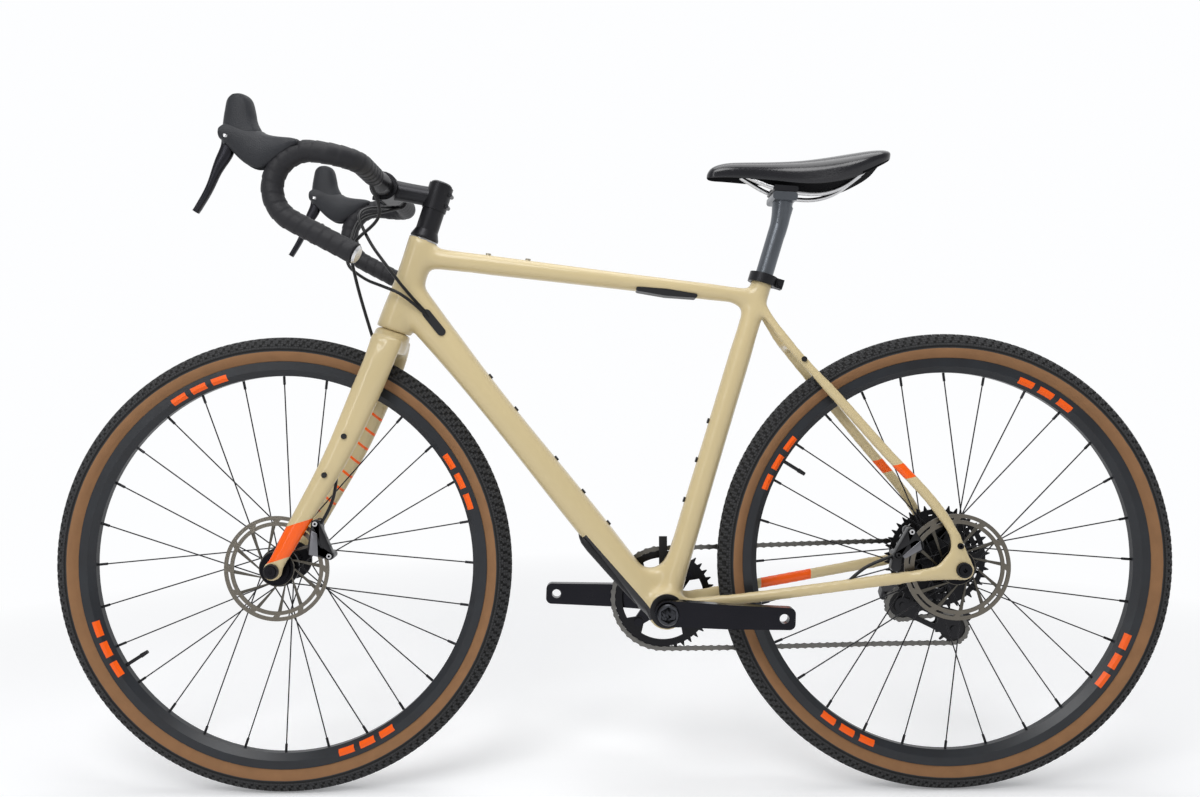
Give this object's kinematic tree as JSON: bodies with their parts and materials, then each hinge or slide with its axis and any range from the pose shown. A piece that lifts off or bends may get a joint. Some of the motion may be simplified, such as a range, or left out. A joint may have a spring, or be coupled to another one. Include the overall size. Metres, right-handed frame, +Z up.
{
  "type": "gravel bike",
  "caption": "Gravel bike with a carbon frame and fork, drop bar, disc brakes, a single chainring and a wide-range cassette, jointed at steering, wheels, drivetrain, levers and seatpost.",
  "frame": {"origin": "on the ground below the middle of the wheelbase, in the plane of the wheels", "axes": "+X forward along the bike, +Y to the rider's left, +Z up"},
  "size_m": [1.7357, 0.416, 1.0216],
  "materials": {
    "sand_paint": "gloss paint over carbon",
    "silver_steel": "satin",
    "black_alloy": "satin black anodised",
    "tyre_rubber": "matt tread with tan sidewalls",
    "rim_alloy": "satin black anodised",
    "spoke_steel": "black",
    "rotor_steel": "brushed",
    "chain_steel": "oiled",
    "cog_steel": "black oxide",
    "crank_alloy": "gloss black",
    "black_plastic": "matt",
    "caliper_alloy": "satin black with a grey side",
    "tape_foam": "matt wrapped tape",
    "silver_alloy": "bright",
    "hood_rubber": "matt",
    "lever_alloy": "satin dark grey",
    "saddle_leather": "matt stitched cover",
    "rail_steel": "bright",
    "bolt_steel": "black with bright edges",
    "hose_black": "satin"
  },
  "bodies": {
    "frame": {"frame": "sand_paint", "headset_bearings": "silver_steel", "seat_clamp": "black_alloy", "bottom_bracket_cups": "black_alloy", "rear_thru_axle": "black_alloy", "frame_bolts": "bolt_steel", "down_tube_guard": "black_plastic", "frame_ports": "black_plastic", "chain_guide": "black_plastic", "rear_caliper": "caliper_alloy", "control_cables": "hose_black", "derailleur_mount": "black_alloy", "derailleur_hanger": "black_alloy", "chain": "chain_steel"},
    "fork": {"fork": "sand_paint", "front_thru_axle": "black_alloy", "headset_spacers": "black_alloy", "stem": "black_alloy", "stem_faceplate": "black_alloy", "stem_bolts": "silver_steel", "handlebar": "black_alloy", "bar_tape": "tape_foam", "bar_end_plugs": "silver_alloy", "left_lever_hood": "hood_rubber", "right_lever_hood": "hood_rubber", "front_caliper": "caliper_alloy", "front_brake_hose": "hose_black", "fork_bolts": "bolt_steel"},
    "front_wheel": {"front_tyre": "tyre_rubber", "front_rim": "rim_alloy", "front_spokes": "spoke_steel", "front_hub": "black_alloy", "front_rotor": "rotor_steel", "front_valve": "black_alloy"},
    "rear_wheel": {"rear_tyre": "tyre_rubber", "rear_rim": "rim_alloy", "rear_spokes": "spoke_steel", "rear_hub": "black_alloy", "rear_rotor": "rotor_steel", "rear_valve": "black_alloy"},
    "cassette": {"cassette": "cog_steel", "freehub_body": "black_alloy"},
    "crankset": {"left_crank_arm": "crank_alloy", "right_crank_arm": "crank_alloy", "chainring": "cog_steel", "crank_bolts": "crank_alloy"},
    "derailleur_inner_link": {"derailleur_inner_link": "black_alloy"},
    "derailleur_outer_link": {"derailleur_outer_link": "black_alloy"},
    "derailleur_knuckle": {"derailleur_knuckle": "black_alloy"},
    "derailleur_cage": {"derailleur_cage": "black_alloy"},
    "guide_pulley": {"guide_pulley": "black_plastic"},
    "tension_pulley": {"tension_pulley": "black_plastic"},
    "left_brake_lever": {"left_brake_lever": "lever_alloy"},
    "right_brake_lever": {"right_brake_lever": "lever_alloy"},
    "shift_paddle": {"shift_paddle": "lever_alloy"},
    "seatpost": {"seatpost": "black_alloy", "seatpost_clamp": "black_alloy", "saddle_rails": "rail_steel", "saddle_shell": "black_plastic", "saddle_cover": "saddle_leather"}
  },
  "joints": [
    {"name": "steering", "type": "hinge", "parent": "frame", "child": "fork", "pos_m": [0.34282, 0, 0.71747], "axis": [-0.3173, 0, 0.9483], "range_deg": [-60, 60], "deforming": ["control_cables"]},
    {"name": "front_wheel_spin", "type": "hinge", "parent": "fork", "child": "front_wheel", "pos_m": [0.514, 0, 0.354], "axis": [0, 1, 0], "continuous": true},
    {"name": "rear_wheel_spin", "type": "hinge", "parent": "frame", "child": "rear_wheel", "pos_m": [-0.514, 0, 0.354], "axis": [0, 1, 0], "continuous": true},
    {"name": "crank_spin", "type": "hinge", "parent": "frame", "child": "crankset", "pos_m": [-0.07852, 0, 0.287], "axis": [0, 1, 0], "continuous": true, "deforming": ["chain"]},
    {"name": "cassette_spin", "type": "hinge", "parent": "frame", "child": "cassette", "pos_m": [-0.514, 0, 0.354], "axis": [0, 1, 0], "continuous": true, "deforming": ["chain"]},
    {"name": "derailleur_swing", "type": "hinge", "parent": "frame", "child": "derailleur_inner_link", "pos_m": [-0.51753, -0.08385, 0.26643], "axis": [0, 0.6157, 0.788], "range_deg": [0, 52], "stiffness_Nm_per_rad": 0.6, "deforming": ["chain"]},
    {"name": "outer_link_swing", "type": "hinge", "parent": "frame", "child": "derailleur_outer_link", "pos_m": [-0.51753, -0.0933, 0.27381], "axis": [0, 0.6157, 0.788], "range_deg": [0, 52], "deforming": ["chain"]},
    {"name": "knuckle_swing", "type": "hinge", "parent": "derailleur_inner_link", "child": "derailleur_knuckle", "pos_m": [-0.469, -0.1025, 0.281], "axis": [0, 0.6157, 0.788], "range_deg": [-52, 0], "deforming": ["chain"]},
    {"name": "cage_swing", "type": "hinge", "parent": "derailleur_knuckle", "child": "derailleur_cage", "pos_m": [-0.469, -0.0645, 0.271], "axis": [0, -1, 0], "range_deg": [0, 70], "stiffness_Nm_per_rad": 0.5, "springref_deg": -28.65, "deforming": ["chain"]},
    {"name": "guide_pulley_spin", "type": "hinge", "parent": "derailleur_cage", "child": "guide_pulley", "pos_m": [-0.469, -0.0645, 0.271], "axis": [0, 1, 0], "continuous": true, "deforming": ["chain"]},
    {"name": "tension_pulley_spin", "type": "hinge", "parent": "derailleur_cage", "child": "tension_pulley", "pos_m": [-0.55146, -0.0645, 0.23251], "axis": [0, 1, 0], "continuous": true, "deforming": ["chain"]},
    {"name": "left_brake", "type": "hinge", "parent": "fork", "child": "left_brake_lever", "pos_m": [0.52529, 0.191, 0.97096], "axis": [0, 1, 0], "range_deg": [0, 18], "stiffness_Nm_per_rad": 2, "springref_deg": -11.46},
    {"name": "right_brake", "type": "hinge", "parent": "fork", "child": "right_brake_lever", "pos_m": [0.52529, -0.191, 0.97096], "axis": [0, 1, 0], "range_deg": [0, 18], "stiffness_Nm_per_rad": 2, "springref_deg": -11.46},
    {"name": "shift", "type": "hinge", "parent": "right_brake_lever", "child": "shift_paddle", "pos_m": [0.51411, -0.191, 0.9185], "axis": [1, 0, 0], "range_deg": [0, 20], "stiffness_Nm_per_rad": 0.5, "springref_deg": -11.46},
    {"name": "seat_height", "type": "slide", "parent": "frame", "child": "seatpost", "axis": [-0.2924, 0, 0.9563], "range_m": [-0.06, 0.05]}
  ],
  "couplings": [
    {"joint": "cassette_spin", "follows": "crank_spin", "ratio": 3.6364},
    {"joint": "guide_pulley_spin", "follows": "crank_spin", "ratio": -3.3333},
    {"joint": "tension_pulley_spin", "follows": "crank_spin", "ratio": 3.3333},
    {"joint": "outer_link_swing", "follows": "derailleur_swing", "ratio": 1},
    {"joint": "knuckle_swing", "follows": "derailleur_swing", "ratio": -1}
  ]
}
